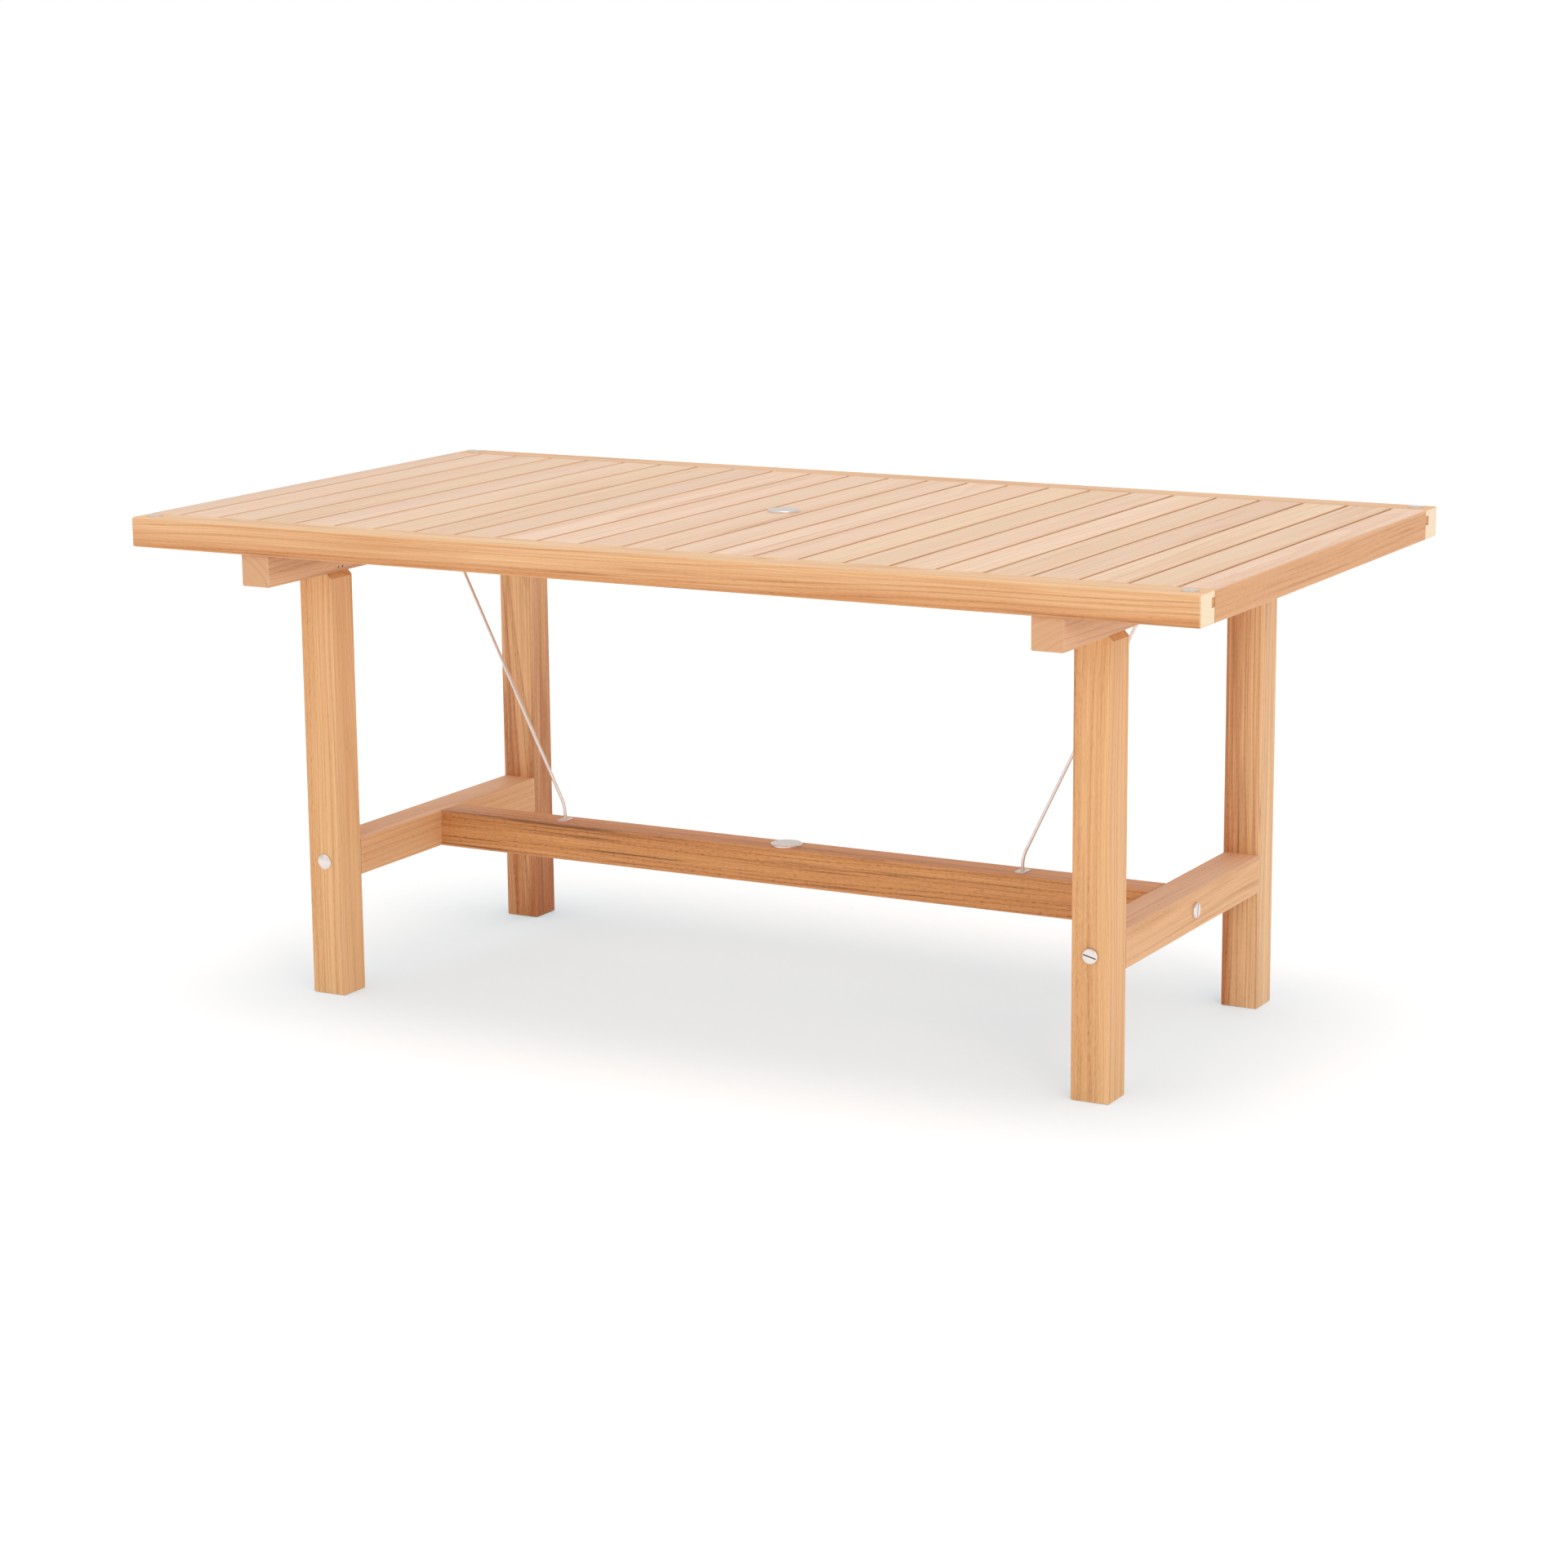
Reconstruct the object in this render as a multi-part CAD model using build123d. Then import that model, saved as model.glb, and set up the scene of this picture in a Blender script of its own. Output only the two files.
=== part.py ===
"""Slatted teak trestle table that knocks down with slotted bolts. All sizes in millimetres.

X runs along the table, Y across it and Z up. The origin is on the ground under the centre.
"""

from build123d import *
import os

# Tabletop
TABLE_LENGTH = 1650.0
TABLE_DEPTH = 890.0
TABLE_HEIGHT = 720.0
FRAME_WIDTH = 48.0
FRAME_THICKNESS = 43.0
SLAT_COUNT = 23
SLAT_GAP = 5.5
SLAT_THICKNESS = 22.0
GROOVE_DEPTH = 12.0
GROOVE_HEIGHT = 13.0
BATTEN_WIDTH = 70.0
CORNER_TENON_WIDTH = 26.0
CORNER_TENON_LENGTH = 22.0

# Trestles
BEAM_WIDTH = 46.5
BEAM_HEIGHT = 46.0
BEAM_LENGTH = 874.0
LEG_WIDTH = 56.0
LEG_DEPTH = 54.0
LEG_X = 615.0
LEG_Y = 267.0
LEG_SHOULDER_CHAMFER = 7.0
FOOT_CHAMFER = 1.5
TENON_WIDTH = 20.0
TENON_DEPTH = 34.0
TENON_HEIGHT = 32.0
RAIL_HEIGHT = 55.0
RAIL_BOTTOM = 174.0
STRETCHER_WIDTH = 54.0

# Tie rods: a threaded foot through the stretcher and a threaded head through the beam
ROD_DIAMETER = 5.0
ROD_FOOT_X = 380.0
ROD_FOOT_CORNER_Z = 250.0
ROD_HEAD_CORNER_X = 579.0
ROD_FOOT_BEND = 50.0
ROD_HEAD_BEND = 15.0
ROD_FOOT_INSET = 1.0
ROD_HEAD_OVERHANG = 9.0
ROD_CLEARANCE = 0.2
PLATE_WIDTH = 15.0
PLATE_LENGTH = 27.0
PLATE_THICKNESS = 1.6
PLATE_CORNER = 3.5
PLATE_EDGE = 0.5
PLATE_HOLE_CLEARANCE = 0.4
PLATE_SCREW_Y = 9.0
PLATE_SCREW_DIAMETER = 2.4
PLATE_SCREW_LENGTH = 14.0
PLATE_SCREW_HEAD = 3.8
PLATE_SCREW_CROWN = 0.6
WASHER_DIAMETER = 14.0
WASHER_THICKNESS = 1.2
NUT_ACROSS_FLATS = 9.0
NUT_HEIGHT = 4.5
NUT_RECESS_DIAMETER = 16.0
NUT_RECESS_DEPTH = 8.5

# Bolts and their barrel nuts: slotted flat heads on the right, plain domed heads on the left legs
BOLT_DIAMETER = 8.0
BOLT_LENGTH = 92.0
BOLT_HEAD_DIAMETER = 22.5
BOLT_HEAD_HEIGHT = 4.0
BOLT_DOME_RIM = 1.2
BOLT_SHOULDER = 2.6
BOLT_SLOT_WIDTH = 1.6
BOLT_SLOT_DEPTH = 1.8
BOLT_SLOT_LENGTH = 19.0
BOLT_CLEARANCE = 0.05
BOLT_TIP_ROOM = 2.0
BARREL_DIAMETER = 14.0
BARREL_LENGTH = 30.0
BARREL_INSET = 30.0

# Parasol hole and its two caps
PARASOL_HOLE_DIAMETER = 40.0
CAP_DIAMETER = 47.0
CAP_HEIGHT = 3.2
CAP_SHOULDER = 1.4
CAP_SKIRT = 18.0
CAP_WALL = 2.0
CAP_CLEARANCE = 0.3

# Pins, screws and dowels
CORNER_PIN_HEAD = 22.5
CORNER_PIN_RIM = 1.4
CORNER_PIN_CROWN = 0.8
CORNER_PIN_DIAMETER = 8.0
CORNER_PIN_LENGTH = 30.0
TENON_PIN_DIAMETER = 3.5
TENON_PIN_LENGTH = 38.0
TENON_PIN_SPACING = 10.0
TENON_PIN_RISE = 7.0
DOWEL_DIAMETER = 8.0
DOWEL_LENGTH = 40.0
DOWEL_SPACING = 34.0
SCREW_DIAMETER = 4.0
SLAT_SCREW_LENGTH = 36.0
BEAM_SCREW_DIAMETER = 7.0
BEAM_SCREW_LENGTH = 74.0

# Rounding of the wood
EDGE_OUTER = 3.0
EDGE_LEG = 2.5
EDGE_RAIL_END = 2.5
EDGE_SLAT = 1.6
EDGE_END_RAIL = 1.5
EDGE_BEAM = 2.5
EDGE_BEAM_END = 1.5
EDGE_FINE = 1.0
EDGE_BOARD_END = 0.6
SEAT_GAP = 0.05

# Worked-out places
HALF_LENGTH = TABLE_LENGTH / 2
HALF_DEPTH = TABLE_DEPTH / 2
INNER_LENGTH = TABLE_LENGTH - 2 * FRAME_WIDTH
INNER_DEPTH = TABLE_DEPTH - 2 * FRAME_WIDTH
SLAT_WIDTH = (INNER_LENGTH - (SLAT_COUNT + 1) * SLAT_GAP) / SLAT_COUNT
SLAT_PITCH = SLAT_WIDTH + SLAT_GAP
SLAT_BOTTOM = TABLE_HEIGHT - SLAT_THICKNESS
FRAME_BOTTOM = TABLE_HEIGHT - FRAME_THICKNESS
BEAM_BOTTOM = FRAME_BOTTOM - BEAM_HEIGHT
BEAM_CENTRE_Z = FRAME_BOTTOM - BEAM_HEIGHT / 2
RAIL_TOP = RAIL_BOTTOM + RAIL_HEIGHT
BOLT_Z = RAIL_BOTTOM + RAIL_HEIGHT / 2
RAIL_LENGTH = 2 * (LEG_Y - LEG_DEPTH / 2)
STRETCHER_LENGTH = 2 * (LEG_X - LEG_WIDTH / 2)
CORNER_PIN_X = HALF_LENGTH - FRAME_WIDTH / 2
CORNER_PIN_Y = HALF_DEPTH - FRAME_WIDTH / 2
SCREW_ROW_Y = 27.0
BEAM_SCREW_Y = 421.0


# ---------------------------------------------------------------- shared shapes

def block(x, y, z):
    """Box between the limits of three (low, high) pairs."""
    centre = Pos(sum(x) / 2, sum(y) / 2, sum(z) / 2)
    return centre * Box(x[1] - x[0], y[1] - y[0], z[1] - z[0])


def eased_bar(x, y, z, along, edge, end_edge):
    """Box whose edges along one axis, and then those of its two ends, are rounded."""
    bar = block(x, y, z)
    bar = fillet(bar.edges().filter_by(along), edge)
    ends = bar.faces().filter_by(along).edges()
    return fillet(ends, end_edge)


def rod_along(direction, radius, start, length):
    """Cylinder from a start point along +X, +Y or +Z, or the opposite way."""
    plane = Plane(origin=start, z_dir=direction)
    return extrude(plane * Circle(radius), amount=length)


def domed_disc(radius, rim, crown):
    """Round head lying on Z = 0: a straight rim under a shallow dome."""
    sphere_radius = (radius ** 2 + crown ** 2) / (2 * crown)
    ball = Pos(0, 0, rim + crown - sphere_radius) * Sphere(sphere_radius)
    blank = extrude(Circle(radius), amount=rim + crown)
    return blank & ball


def shouldered_disc(radius, height, shoulder):
    """Round head lying on Z = 0: a flat top inside a rounded shoulder."""
    disc = extrude(Circle(radius), amount=height)
    return fillet(disc.faces().sort_by(Axis.Z)[-1].edges(), shoulder)


def group(solids):
    """Identical fasteners that share one node."""
    return Compound(children=list(solids))


def corners():
    """Signs of the four corners of the table."""
    return [(sx, sy) for sx in (-1, 1) for sy in (-1, 1)]


# ---------------------------------------------------------------- pins, screws, dowels

def corner_pin(sx, sy):
    """Stainless pin that locks a corner joint, with a round head on the tabletop."""
    head = domed_disc(CORNER_PIN_HEAD / 2, CORNER_PIN_RIM, CORNER_PIN_CROWN)
    shank = rod_along((0, 0, -1), CORNER_PIN_DIAMETER / 2, (0, 0, 0), CORNER_PIN_LENGTH)
    return Pos(sx * CORNER_PIN_X, sy * CORNER_PIN_Y, TABLE_HEIGHT) * (head + shank)


def tenon_pins_at(sx, sy):
    """Two blind pins from the beam's inner face through one leg tenon."""
    pins = []
    for step in (0, 1):
        y = sy * (LEG_Y - step * TENON_PIN_SPACING)
        start = (sx * (LEG_X - BEAM_WIDTH / 2), y, BEAM_BOTTOM + TENON_PIN_RISE)
        pins.append(rod_along((sx, 0, 0), TENON_PIN_DIAMETER / 2, start, TENON_PIN_LENGTH))
    return pins


def countersunk_screw(radius, head_radius, length):
    """Screw pointing up from Z = 0, with its head flush at the bottom."""
    head_height = head_radius - radius
    head = Pos(0, 0, head_height / 2) * Cone(head_radius, radius, head_height)
    tip_height = 2 * radius
    shank = extrude(Circle(radius), amount=length - tip_height)
    tip = Pos(0, 0, length - tip_height / 2) * Cone(radius, radius / 4, tip_height)
    return head + shank + tip


def slat_screws_at(index):
    """Two screws up through the batten into one slat."""
    screw = countersunk_screw(SCREW_DIAMETER / 2, SCREW_DIAMETER, SLAT_SCREW_LENGTH)
    return [Pos(slat_x(index), side * SCREW_ROW_Y, FRAME_BOTTOM) * screw for side in (-1, 1)]


def beam_screw(sx, sy):
    """Screw up through a beam end into the long rail."""
    screw = countersunk_screw(BEAM_SCREW_DIAMETER / 2, BEAM_SCREW_DIAMETER, BEAM_SCREW_LENGTH)
    return Pos(sx * LEG_X, sy * BEAM_SCREW_Y, BEAM_BOTTOM) * screw


def rail_dowels(sx, sy):
    """Two dowels between a leg and the end of its lower rail."""
    start_y = sy * (RAIL_LENGTH / 2 - DOWEL_LENGTH / 2)
    return [
        rod_along((0, sy, 0), DOWEL_DIAMETER / 2,
                  (sx * LEG_X + side * DOWEL_SPACING / 2, start_y, BOLT_Z), DOWEL_LENGTH)
        for side in (-1, 1)
    ]


def stretcher_dowels(sx):
    """Two dowels between a lower rail and the end of the stretcher."""
    start_x = sx * (STRETCHER_LENGTH / 2 - DOWEL_LENGTH / 2)
    return [
        rod_along((sx, 0, 0), DOWEL_DIAMETER / 2,
                  (start_x, side * DOWEL_SPACING / 2, BOLT_Z), DOWEL_LENGTH)
        for side in (-1, 1)
    ]


# ---------------------------------------------------------------- slotted bolts

def bolt_shank():
    """Shank of a bolt, pointing down from Z = 0."""
    return rod_along((0, 0, -1), BOLT_DIAMETER / 2, (0, 0, 0), BOLT_LENGTH)


def slotted_bolt(slot_angle):
    """Bolt with a flat, round-shouldered head on Z = 0, cut with a coin slot."""
    head = shouldered_disc(BOLT_HEAD_DIAMETER / 2, BOLT_HEAD_HEIGHT, BOLT_SHOULDER)
    slot = Box(BOLT_SLOT_LENGTH, BOLT_SLOT_WIDTH, BOLT_SLOT_DEPTH * 2)
    head -= Pos(0, 0, BOLT_HEAD_HEIGHT) * Rot(0, 0, slot_angle) * slot
    return head + bolt_shank()


def domed_bolt():
    """Bolt with a plain low dome on Z = 0."""
    crown = BOLT_HEAD_HEIGHT - BOLT_DOME_RIM
    return domed_disc(BOLT_HEAD_DIAMETER / 2, BOLT_DOME_RIM, crown) + bolt_shank()


def leg_bolt(sx, sy, bolt):
    """Bolt through a leg into its lower rail, with its head on the outer face."""
    y = sy * (LEG_Y + LEG_DEPTH / 2 + SEAT_GAP)
    seat = Plane(origin=(sx * LEG_X, y, BOLT_Z), x_dir=(1, 0, 0), z_dir=(0, sy, 0))
    return seat * bolt


def stretcher_bolt(sx, bolt):
    """Bolt through a lower rail into the stretcher, with its head on the outer face."""
    x = sx * (LEG_X + LEG_WIDTH / 2 + SEAT_GAP)
    seat = Plane(origin=(x, 0, BOLT_Z), x_dir=(0, 1, 0), z_dir=(sx, 0, 0))
    return seat * bolt


def bolt_holes():
    """Clearance holes of all six bolts, as one cutting shape for each bolt."""
    radius = BOLT_DIAMETER / 2 + BOLT_CLEARANCE
    length = BOLT_LENGTH + BOLT_TIP_ROOM
    holes = []
    for sx, sy in corners():
        start = (sx * LEG_X, sy * (LEG_Y + LEG_DEPTH / 2), BOLT_Z)
        holes.append(rod_along((0, -sy, 0), radius, start, length))
    for sx in (-1, 1):
        start = (sx * (LEG_X + LEG_WIDTH / 2), 0, BOLT_Z)
        holes.append(rod_along((-sx, 0, 0), radius, start, length))
    return holes


def barrel_places():
    """Centres of the barrel nuts, each where its bolt crosses it."""
    rail_y = RAIL_LENGTH / 2 - BARREL_INSET
    stretcher_x = STRETCHER_LENGTH / 2 - BARREL_INSET
    places = [(sx * LEG_X, sy * rail_y) for sx, sy in corners()]
    return places + [(sx * stretcher_x, 0) for sx in (-1, 1)]


def barrel_nut(x, y):
    """Upright barrel nut around its bolt."""
    start = (x, y, BOLT_Z - BARREL_LENGTH / 2)
    nut = rod_along((0, 0, 1), BARREL_DIAMETER / 2, start, BARREL_LENGTH)
    for hole in bolt_holes():
        nut -= hole
    return nut


def barrel_pocket(x, y):
    """Hole drilled from below for a barrel nut."""
    depth = BOLT_Z + BARREL_LENGTH / 2 - RAIL_BOTTOM
    return rod_along((0, 0, 1), BARREL_DIAMETER / 2, (x, y, RAIL_BOTTOM), depth)


# ---------------------------------------------------------------- tie rods

def rod_plane():
    """Drawing plane of the rods: first axis +X, second axis +Z, through Y = 0."""
    return Plane(origin=(0, 0, 0), x_dir=(1, 0, 0), z_dir=(0, -1, 0))


def tie_rod():
    """Right-hand rod: an upright foot, a slanting run and a level head."""
    foot_end = RAIL_BOTTOM + ROD_FOOT_INSET
    head_end = LEG_X + BEAM_WIDTH / 2 + ROD_HEAD_OVERHANG
    corners_xz = [
        (ROD_FOOT_X, foot_end),
        (ROD_FOOT_X, ROD_FOOT_CORNER_Z),
        (ROD_HEAD_CORNER_X, BEAM_CENTRE_Z),
        (head_end, BEAM_CENTRE_Z),
    ]
    line = FilletPolyline(*corners_xz, radius=[ROD_FOOT_BEND, ROD_HEAD_BEND])
    path = rod_plane() * line
    section = Plane(origin=(ROD_FOOT_X, 0, foot_end), z_dir=(0, 0, 1)) * Circle(ROD_DIAMETER / 2)
    return sweep(section, path=path)


def rod_plate():
    """Right-hand keeper plate on the stretcher, with the rod and two screws through it."""
    outline = RectangleRounded(PLATE_WIDTH, PLATE_LENGTH, PLATE_CORNER)
    plate = extrude(outline, amount=PLATE_THICKNESS)
    plate = fillet(plate.faces().sort_by(Axis.Z)[-1].edges(), PLATE_EDGE)
    plate -= extrude(Circle(ROD_DIAMETER / 2 + PLATE_HOLE_CLEARANCE), amount=PLATE_THICKNESS)
    plate = Pos(ROD_FOOT_X, 0, RAIL_TOP) * plate
    for screw in plate_screws():
        plate -= screw
    return plate


def plate_screws():
    """Two small screws of the right-hand keeper plate, with slightly raised heads."""
    head = domed_disc(PLATE_SCREW_HEAD / 2, PLATE_THICKNESS, PLATE_SCREW_CROWN)
    shank = rod_along((0, 0, -1), PLATE_SCREW_DIAMETER / 2, (0, 0, 0), PLATE_SCREW_LENGTH)
    screw = head + shank
    return [Pos(ROD_FOOT_X, side * PLATE_SCREW_Y, RAIL_TOP) * screw for side in (-1, 1)]


def hex_nut():
    """Hexagon nut of the rod's size, standing on Z = 0."""
    outline = RegularPolygon(NUT_ACROSS_FLATS / 2, 6, major_radius=False)
    return extrude(outline - Circle(ROD_DIAMETER / 2 + BOLT_CLEARANCE), amount=NUT_HEIGHT)


def washer():
    """Washer of the rod's size, lying on Z = 0."""
    outline = Circle(WASHER_DIAMETER / 2) - Circle(ROD_DIAMETER / 2 + BOLT_CLEARANCE)
    return extrude(outline, amount=WASHER_THICKNESS)


def rod_foot_nut():
    """Nut and washer in the recess under the stretcher."""
    washer_z = RAIL_BOTTOM + NUT_RECESS_DEPTH - WASHER_THICKNESS
    return [
        Pos(ROD_FOOT_X, 0, washer_z) * washer(),
        Pos(ROD_FOOT_X, 0, washer_z - NUT_HEIGHT) * hex_nut(),
    ]


def rod_head_nut():
    """Nut and washer on the outer face of the beam."""
    face = Plane(origin=(LEG_X + BEAM_WIDTH / 2, 0, BEAM_CENTRE_Z), z_dir=(1, 0, 0))
    return [face * washer(), face * (Pos(0, 0, WASHER_THICKNESS) * hex_nut())]


def mirrored(shape):
    """The same piece at the other end of the table."""
    return mirror(shape, about=Plane.YZ)


# ---------------------------------------------------------------- tabletop

def slat_x(index):
    """Centre of a slat, counted from the left."""
    return (index - (SLAT_COUNT - 1) / 2) * SLAT_PITCH


def groove(sy):
    """Groove along the inner edge of a long rail."""
    inner = sy * INNER_DEPTH / 2
    y = sorted((inner, inner + sy * GROOVE_DEPTH))
    return block((-HALF_LENGTH, HALF_LENGTH), y, (SLAT_BOTTOM, SLAT_BOTTOM + GROOVE_HEIGHT))


def corner_tenon_x(sx):
    """Limits of an end rail's tenons across their width."""
    return (sx * CORNER_PIN_X - CORNER_TENON_WIDTH / 2, sx * CORNER_PIN_X + CORNER_TENON_WIDTH / 2)


def corner_mortise(sx, sy):
    """Pocket in a long rail for the tenon of an end rail."""
    inner = sy * (INNER_DEPTH / 2 + GROOVE_DEPTH)
    y = sorted((inner, inner + sy * CORNER_TENON_LENGTH))
    return block(corner_tenon_x(sx), y, (SLAT_BOTTOM, SLAT_BOTTOM + GROOVE_HEIGHT))


def long_edges_at(rail, y):
    """The edges of a long rail that run along X at one Y."""
    return rail.edges().filter_by(Axis.X).filter_by_position(Axis.Y, y - 0.1, y + 0.1)


def long_rail(sy):
    """Full-length rail, grooved for the slats and mortised for the end rails."""
    y = sorted((sy * INNER_DEPTH / 2, sy * HALF_DEPTH))
    rail = block((-HALF_LENGTH, HALF_LENGTH), y, (FRAME_BOTTOM, TABLE_HEIGHT))
    rail = fillet(long_edges_at(rail, sy * HALF_DEPTH), EDGE_OUTER)
    rail = fillet(rail.faces().filter_by(Axis.X).edges(), EDGE_RAIL_END)
    rail = fillet(long_edges_at(rail, sy * INNER_DEPTH / 2), EDGE_FINE)
    rail -= groove(sy)
    for sx in (-1, 1):
        rail -= corner_mortise(sx, sy)
        rail -= corner_pin(sx, sy)
        rail -= beam_screw(sx, sy)
    return rail


def end_rail(sx):
    """Short rail with a tongue and a tenon at each end."""
    x = sorted((sx * INNER_LENGTH / 2, sx * HALF_LENGTH))
    half = INNER_DEPTH / 2
    z = (FRAME_BOTTOM, TABLE_HEIGHT)
    rail = eased_bar(x, (-half, half), z, Axis.Y, EDGE_END_RAIL, EDGE_BOARD_END)
    tongue_z = (SLAT_BOTTOM, SLAT_BOTTOM + GROOVE_HEIGHT)
    reach = half + GROOVE_DEPTH
    rail += block((x[0] + EDGE_END_RAIL, x[1] - EDGE_END_RAIL), (-reach, reach), tongue_z)
    reach += CORNER_TENON_LENGTH
    rail += block(corner_tenon_x(sx), (-reach, reach), tongue_z)
    for sy in (-1, 1):
        rail -= corner_pin(sx, sy)
    return rail


def slat(index):
    """Cross slat with a barefaced tongue at each end."""
    centre = slat_x(index)
    half = INNER_DEPTH / 2
    x = (centre - SLAT_WIDTH / 2, centre + SLAT_WIDTH / 2)
    z = (SLAT_BOTTOM, TABLE_HEIGHT)
    board = eased_bar(x, (-half, half), z, Axis.Y, EDGE_SLAT, EDGE_BOARD_END)
    reach = half + GROOVE_DEPTH
    tongue_x = (x[0] + EDGE_SLAT, x[1] - EDGE_SLAT)
    board += block(tongue_x, (-reach, reach), (SLAT_BOTTOM, SLAT_BOTTOM + GROOVE_HEIGHT))
    for screw in slat_screws_at(index):
        board -= screw
    if index == SLAT_COUNT // 2:
        board -= parasol_hole(SLAT_BOTTOM, TABLE_HEIGHT)
    return board


def centre_batten():
    """Board under the slats, from one end rail to the other."""
    half = INNER_LENGTH / 2
    batten = block((-half, half), (-BATTEN_WIDTH / 2, BATTEN_WIDTH / 2), (FRAME_BOTTOM, SLAT_BOTTOM))
    for index in range(SLAT_COUNT):
        for screw in slat_screws_at(index):
            batten -= screw
    return batten - parasol_hole(FRAME_BOTTOM, SLAT_BOTTOM)


def parasol_hole(bottom, top):
    """Upright hole on the centre line of the table."""
    return Pos(0, 0, (bottom + top) / 2) * Cylinder(PARASOL_HOLE_DIAMETER / 2, top - bottom)


def parasol_cap(seat_z):
    """Lift-out cap: a flat head over a skirt that drops into the hole."""
    skirt_radius = PARASOL_HOLE_DIAMETER / 2 - CAP_CLEARANCE
    head = shouldered_disc(CAP_DIAMETER / 2, CAP_HEIGHT, CAP_SHOULDER)
    skirt = extrude(Circle(skirt_radius) - Circle(skirt_radius - CAP_WALL), amount=-CAP_SKIRT)
    return Pos(0, 0, seat_z + SEAT_GAP) * (head + skirt)


# ---------------------------------------------------------------- trestles

def beam(sx):
    """Cross beam under the tabletop, mortised for two legs."""
    x = (sx * LEG_X - BEAM_WIDTH / 2, sx * LEG_X + BEAM_WIDTH / 2)
    y = (-BEAM_LENGTH / 2, BEAM_LENGTH / 2)
    part = eased_bar(x, y, (BEAM_BOTTOM, FRAME_BOTTOM), Axis.Y, EDGE_BEAM, EDGE_BEAM_END)
    for sy in (-1, 1):
        part -= leg_tenon(sx, sy)
        part -= beam_screw(sx, sy)
        for pin in tenon_pins_at(sx, sy):
            part -= pin
    start = (sx * LEG_X - BEAM_WIDTH / 2, 0, BEAM_CENTRE_Z)
    part -= rod_along((1, 0, 0), ROD_DIAMETER / 2 + ROD_CLEARANCE, start, BEAM_WIDTH)
    return part


def leg_tenon(sx, sy):
    """Tenon on top of a leg."""
    x = (sx * LEG_X - TENON_WIDTH / 2, sx * LEG_X + TENON_WIDTH / 2)
    y = (sy * LEG_Y - TENON_DEPTH / 2, sy * LEG_Y + TENON_DEPTH / 2)
    return block(x, y, (BEAM_BOTTOM, BEAM_BOTTOM + TENON_HEIGHT))


def leg(sx, sy):
    """Square leg, chamfered where it meets the narrower beam."""
    x = (sx * LEG_X - LEG_WIDTH / 2, sx * LEG_X + LEG_WIDTH / 2)
    y = (sy * LEG_Y - LEG_DEPTH / 2, sy * LEG_Y + LEG_DEPTH / 2)
    post = block(x, y, (0, BEAM_BOTTOM))
    top_sides = post.faces().sort_by(Axis.Z)[-1].edges().filter_by(Axis.Y)
    post = chamfer(top_sides, LEG_SHOULDER_CHAMFER)
    post = fillet(post.edges().filter_by(Axis.Z), EDGE_LEG)
    post = chamfer(post.faces().sort_by(Axis.Z)[0].edges(), FOOT_CHAMFER)
    post += leg_tenon(sx, sy)
    for pin in tenon_pins_at(sx, sy):
        post -= pin
    for hole in bolt_holes():
        post -= hole
    for dowel in rail_dowels(sx, sy):
        post -= dowel
    return post


def lower_rail(sx):
    """Rail between the two legs of a trestle."""
    x = (sx * LEG_X - LEG_WIDTH / 2, sx * LEG_X + LEG_WIDTH / 2)
    y = (-RAIL_LENGTH / 2, RAIL_LENGTH / 2)
    part = block(x, y, (RAIL_BOTTOM, RAIL_TOP))
    part = fillet(part.edges().filter_by(Axis.Y), EDGE_LEG)
    for hole in bolt_holes():
        part -= hole
    for place in barrel_places():
        part -= barrel_pocket(*place)
    for dowel in rail_dowels(sx, -1) + rail_dowels(sx, 1) + stretcher_dowels(sx):
        part -= dowel
    return part


def stretcher():
    """Long rail between the trestles, with the lower parasol hole and the rod seats."""
    x = (-STRETCHER_LENGTH / 2, STRETCHER_LENGTH / 2)
    y = (-STRETCHER_WIDTH / 2, STRETCHER_WIDTH / 2)
    part = block(x, y, (RAIL_BOTTOM, RAIL_TOP))
    part = fillet(part.edges().filter_by(Axis.X), EDGE_LEG)
    part -= parasol_hole(RAIL_BOTTOM, RAIL_TOP)
    for hole in bolt_holes():
        part -= hole
    for place in barrel_places():
        part -= barrel_pocket(*place)
    for sx in (-1, 1):
        for dowel in stretcher_dowels(sx):
            part -= dowel
        start = (sx * ROD_FOOT_X, 0, RAIL_BOTTOM)
        part -= rod_along((0, 0, 1), ROD_DIAMETER / 2 + ROD_CLEARANCE, start, RAIL_HEIGHT)
        part -= rod_along((0, 0, 1), NUT_RECESS_DIAMETER / 2, start, NUT_RECESS_DEPTH)
    for screw in plate_screws():
        part -= screw
        part -= mirrored(screw)
    return part


# ---------------------------------------------------------------- all nodes

def both_ends(solids):
    """Right-hand pieces and their mirror images."""
    return list(solids) + [mirrored(solid) for solid in solids]


def fastener_nodes():
    """Nodes that hold several identical small pieces."""
    return {
        "corner_pins": group(corner_pin(sx, sy) for sx, sy in corners()),
        "tenon_pins": group(pin for sx, sy in corners() for pin in tenon_pins_at(sx, sy)),
        "slat_screws": group(
            screw for index in range(SLAT_COUNT) for screw in slat_screws_at(index)),
        "beam_screws": group(beam_screw(sx, sy) for sx, sy in corners()),
        "rod_plate_screws": group(both_ends(plate_screws())),
        "rod_foot_nuts": group(both_ends(rod_foot_nut())),
        "rod_head_nuts": group(both_ends(rod_head_nut())),
        "barrel_nuts": group(barrel_nut(*place) for place in barrel_places()),
        "dowels": group(
            [dowel for sx, sy in corners() for dowel in rail_dowels(sx, sy)]
            + [dowel for sx in (-1, 1) for dowel in stretcher_dowels(sx)]),
    }


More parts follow.
